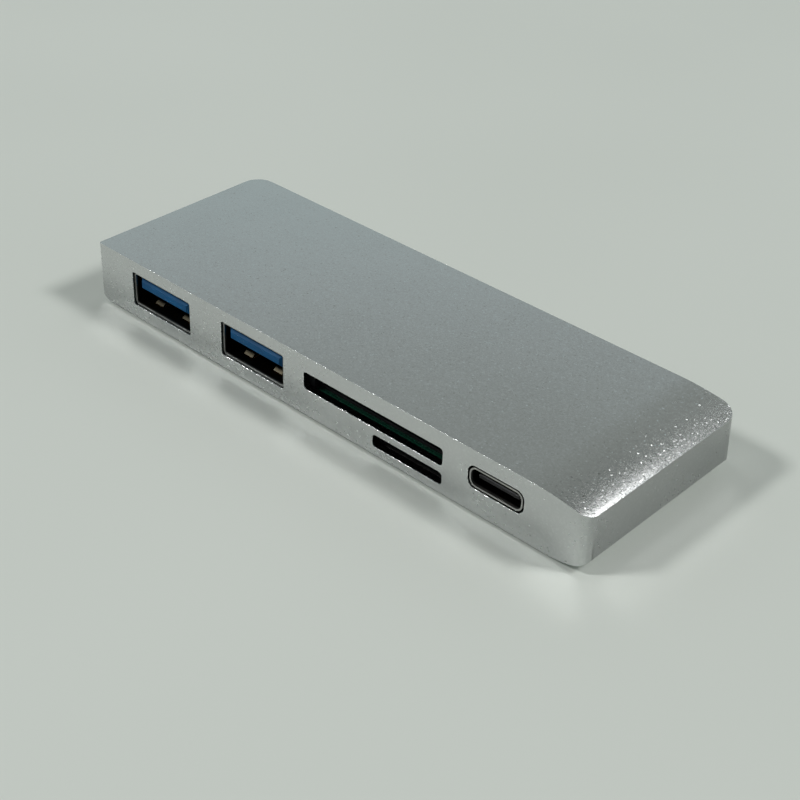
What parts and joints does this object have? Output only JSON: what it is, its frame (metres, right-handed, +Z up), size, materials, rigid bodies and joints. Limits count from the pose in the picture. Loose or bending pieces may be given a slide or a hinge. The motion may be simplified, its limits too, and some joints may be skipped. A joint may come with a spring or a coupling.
{
  "type": "usb hub",
  "caption": "Slim aluminium combo hub: a flat slab with USB-A, memory card and USB-C openings along one long side and a fixed USB-C plug on the other",
  "frame": {"origin": "below the middle of the case's flat and bent top, on the plane that the bottom cover rests on", "axes": "+X along the row of sockets towards the end whose top curves down, -Y out of the socket side, +Y along the plug, +Z up"},
  "size_m": [0.0949, 0.0396, 0.01],
  "materials": {
    "aluminium_shell": "fine sandblasted and anodised silver",
    "aluminium_cover": "fine sandblasted and anodised silver",
    "socket_steel": "nickel-plated stamped steel",
    "gold_contacts": "gold-plated copper alloy",
    "blue_plastic": "moulded blue",
    "black_plastic": "moulded black",
    "green_board": "green solder mask",
    "chip_black": "moulded epoxy",
    "ceramic_tan": "fired ceramic",
    "ferrite_grey": "moulded ferrite",
    "adhesive_black": "film adhesive",
    "amber_film": "polyimide film",
    "screw_steel": "zinc-plated",
    "spring_steel": "drawn wire"
  },
  "bodies": {
    "hub": {"housing": "aluminium_shell", "bottom_cover": "aluminium_cover", "cover_adhesive": "adhesive_black", "insulating_film": "amber_film", "main_board": "green_board", "board_screws": "screw_steel", "usb_a_left_shell": "socket_steel", "usb_a_left_insulator": "blue_plastic", "usb_a_left_contacts": "gold_contacts", "usb_a_right_shell": "socket_steel", "usb_a_right_insulator": "blue_plastic", "usb_a_right_contacts": "gold_contacts", "sd_socket_base": "black_plastic", "sd_socket_cover": "socket_steel", "sd_contacts": "gold_contacts", "sd_detect_switch": "gold_contacts", "microsd_base": "black_plastic", "microsd_cover": "socket_steel", "microsd_contacts": "gold_contacts", "microsd_spring": "spring_steel", "microsd_cam_pin": "spring_steel", "usb_c_port_shell": "socket_steel", "usb_c_port_insulator": "black_plastic", "usb_c_port_midplate": "socket_steel", "usb_c_port_contacts": "gold_contacts", "plug_shell": "socket_steel", "plug_insert": "black_plastic", "plug_contacts": "gold_contacts", "plug_latches": "socket_steel", "plug_bracket": "socket_steel", "plug_collar": "black_plastic", "hub_controller": "chip_black", "card_reader_controller": "chip_black", "power_delivery_controller": "chip_black", "voltage_regulator": "chip_black", "crystals": "socket_steel", "power_inductors": "ferrite_grey", "polymer_capacitors": "chip_black", "power_switches": "chip_black", "power_transistors": "chip_black", "esd_arrays": "chip_black", "ceramic_capacitors": "ceramic_tan", "chip_resistors": "chip_black"},
    "card_ejector": {"microsd_slider": "black_plastic"}
  },
  "joints": [
    {"name": "microsd_eject", "type": "slide", "parent": "hub", "child": "card_ejector", "axis": [0, 1, 0], "range_m": [0, 0.004], "stiffness_N_per_m": 250, "springref_m": -0.004, "deforming": ["microsd_spring"]}
  ]
}
